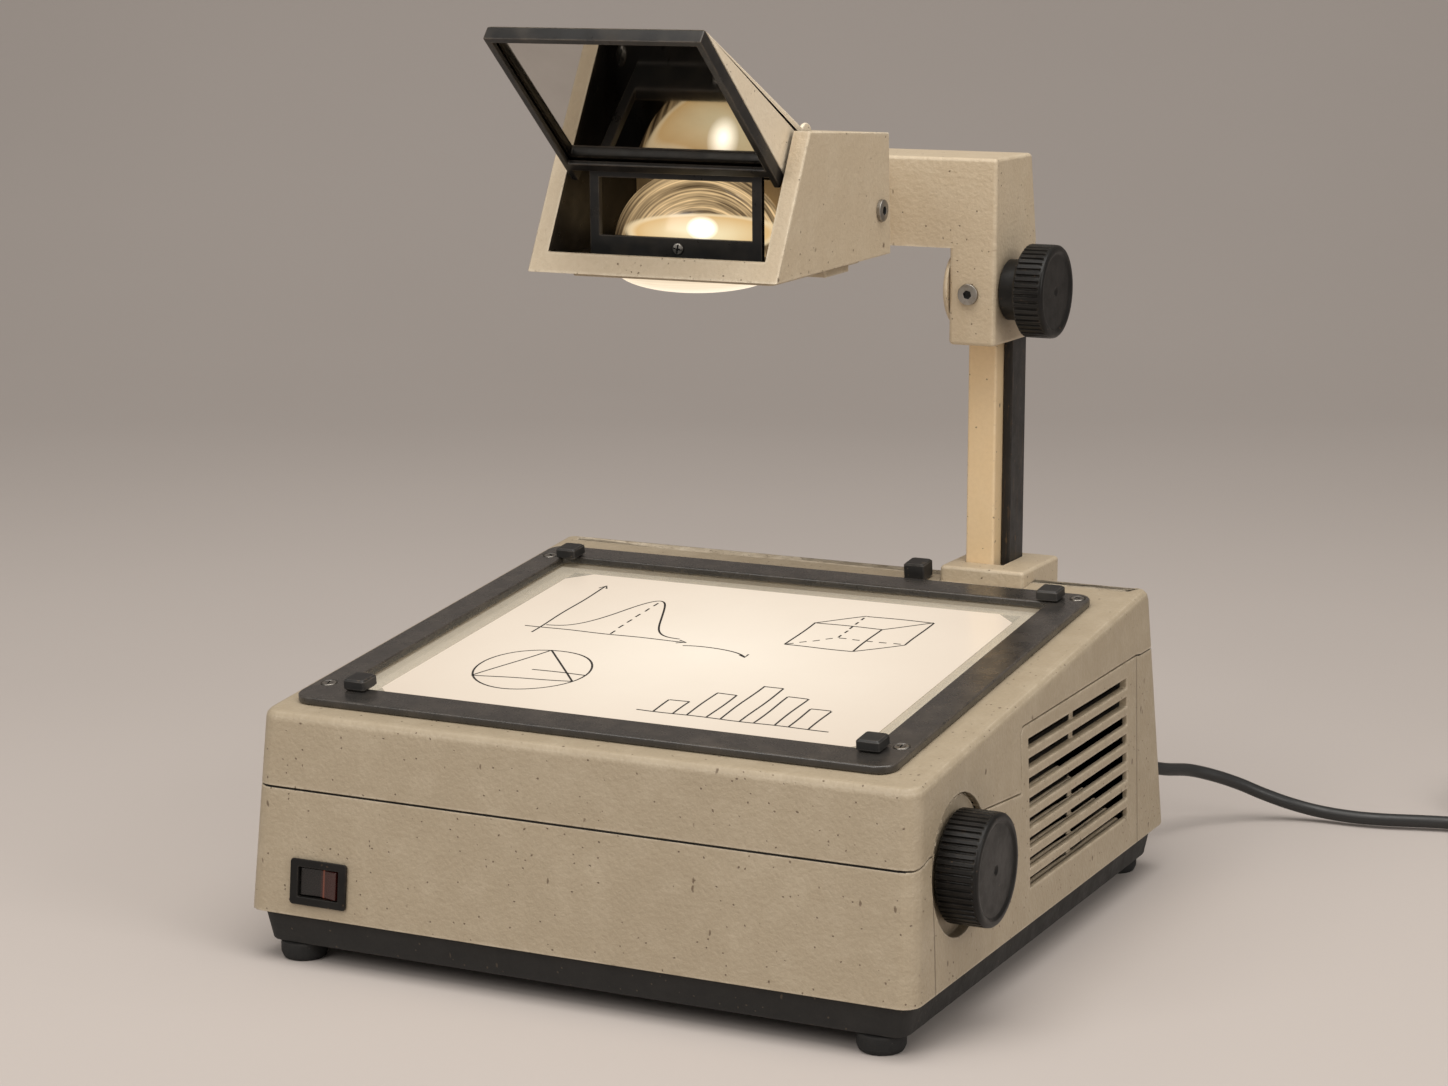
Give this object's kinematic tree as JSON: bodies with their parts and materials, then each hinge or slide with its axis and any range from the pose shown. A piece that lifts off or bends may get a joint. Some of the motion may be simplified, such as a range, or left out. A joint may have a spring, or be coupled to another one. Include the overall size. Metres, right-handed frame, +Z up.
{
  "type": "overhead projector",
  "caption": "Overhead projector: wedge base with a lit glass stage, rear column with focusing arm, lens head and tilting mirror lid, lamp changer knob, vents, switch and mains lead.",
  "frame": {"origin": "on the floor under the middle of the projector's bounding box, the mains lead left out", "axes": "+X to the right seen from the front (lamp knob side), +Y to the rear (column side), +Z up"},
  "size_m": [0.6582, 0.7473, 0.5116],
  "materials": {
    "beige_plastic": "fine textured, speckled with brown wear",
    "beige_metal": "fine textured paint, brown rub marks",
    "charcoal_plastic": "matt",
    "black_plastic": "satin with worn brown edges",
    "red_plastic": "dark translucent gloss",
    "black_metal": "worn black paint",
    "rubber": "matt",
    "black_rubber": "matt moulded",
    "cord_rubber": "smooth sheath",
    "steel": "dull plated",
    "aluminium": "pressed sheet",
    "iron": "varnished core and winding",
    "ceramic": "unglazed",
    "lamp_glass": "clear bulb in a mirrored dish",
    "lens_glass": "polished, finely ringed",
    "stage_glass": "polished plate",
    "clear_plastic": "clear ringed sheet",
    "film": "lit sheet with a line drawing",
    "mirror": "polished"
  },
  "bodies": {
    "base": {"lower_shell": "beige_plastic", "upper_shell": "beige_plastic", "base_tray": "charcoal_plastic", "foot_front_left": "rubber", "foot_front_right": "rubber", "foot_rear_left": "rubber", "foot_rear_right": "rubber", "fresnel_lens": "clear_plastic", "stage_glass": "stage_glass", "transparency_film": "film", "stage_frame": "black_plastic", "frame_screw_front_left": "steel", "frame_screw_front_right": "steel", "frame_screw_rear_left": "steel", "frame_screw_rear_right": "steel", "sheet_stop_front_left": "black_rubber", "sheet_stop_front_right": "black_rubber", "sheet_stop_rear_left": "black_rubber", "sheet_stop_rear_right": "black_rubber", "sheet_stop_middle": "black_rubber", "switch_bezel": "black_plastic", "lamp_chassis": "steel", "guide_rod_left": "steel", "guide_rod_right": "steel", "condenser_lens": "lens_glass", "fan_frame": "black_plastic", "transformer": "iron", "column_bracket": "beige_plastic", "column": "beige_metal", "focus_bar": "black_metal", "strain_relief": "black_rubber", "power_cord": "cord_rubber", "cord_coil": "cord_rubber", "cord_tie": "black_plastic", "plug": "black_rubber"},
    "carriage": {"focusing_arm": "beige_plastic", "shaft_cap": "beige_plastic", "clamp_screw": "steel", "head_shell": "beige_plastic", "head_screw": "steel", "lens_plate": "beige_plastic", "lower_lens": "lens_glass", "lens_tray": "black_plastic", "upper_lens": "lens_glass", "lid_hinge_pin": "steel"},
    "focus_spindle": {"focus_shaft": "steel", "focus_roller": "black_rubber", "focus_knob": "black_plastic"},
    "mirror_lid": {"lid_shell": "beige_plastic", "mirror_frame": "black_plastic", "mirror": "mirror"},
    "rocker": {"switch_rocker": "red_plastic"},
    "lamp_carrier": {"lamp_sled": "aluminium", "working_lamp_holder": "ceramic", "spare_lamp_holder": "ceramic", "working_lamp": "lamp_glass", "spare_lamp": "lamp_glass"},
    "lamp_spindle": {"lamp_knob": "black_plastic", "lamp_knob_shaft": "steel"},
    "fan_wheel": {"fan_rotor": "charcoal_plastic"}
  },
  "joints": [
    {"name": "carriage_slide", "type": "slide", "parent": "base", "child": "carriage", "axis": [0, 0, 1], "range_m": [-0.008, 0.045]},
    {"name": "focus_knob_turn", "type": "hinge", "parent": "carriage", "child": "focus_spindle", "pos_m": [0.1095, 0.1527, 0.352], "axis": [1, 0, 0], "range_deg": [-157, 28]},
    {"name": "mirror_hinge", "type": "hinge", "parent": "carriage", "child": "mirror_lid", "pos_m": [-0.0145, -0.0263, 0.4505], "axis": [1, 0, 0], "range_deg": [-22, 6]},
    {"name": "rocker_pivot", "type": "hinge", "parent": "base", "child": "rocker", "pos_m": [-0.1625, -0.19469, 0.04799], "axis": [0, 0.1023, 0.9947], "range_deg": [0, 12]},
    {"name": "lamp_slide", "type": "slide", "parent": "base", "child": "lamp_carrier", "axis": [0, 1, 0], "range_m": [0, 0.044]},
    {"name": "lamp_knob_turn", "type": "hinge", "parent": "base", "child": "lamp_spindle", "pos_m": [0.1955, -0.1373, 0.088], "axis": [1, 0, 0], "range_deg": [0, 228]},
    {"name": "fan_spin", "type": "hinge", "parent": "base", "child": "fan_wheel", "pos_m": [0.165, 0.0427, 0.0598], "axis": [1, 0, 0], "continuous": true}
  ],
  "couplings": [
    {"joint": "focus_knob_turn", "follows": "carriage_slide", "rad_per_m": -60.6},
    {"joint": "lamp_knob_turn", "follows": "lamp_slide", "rad_per_m": 89.7}
  ]
}
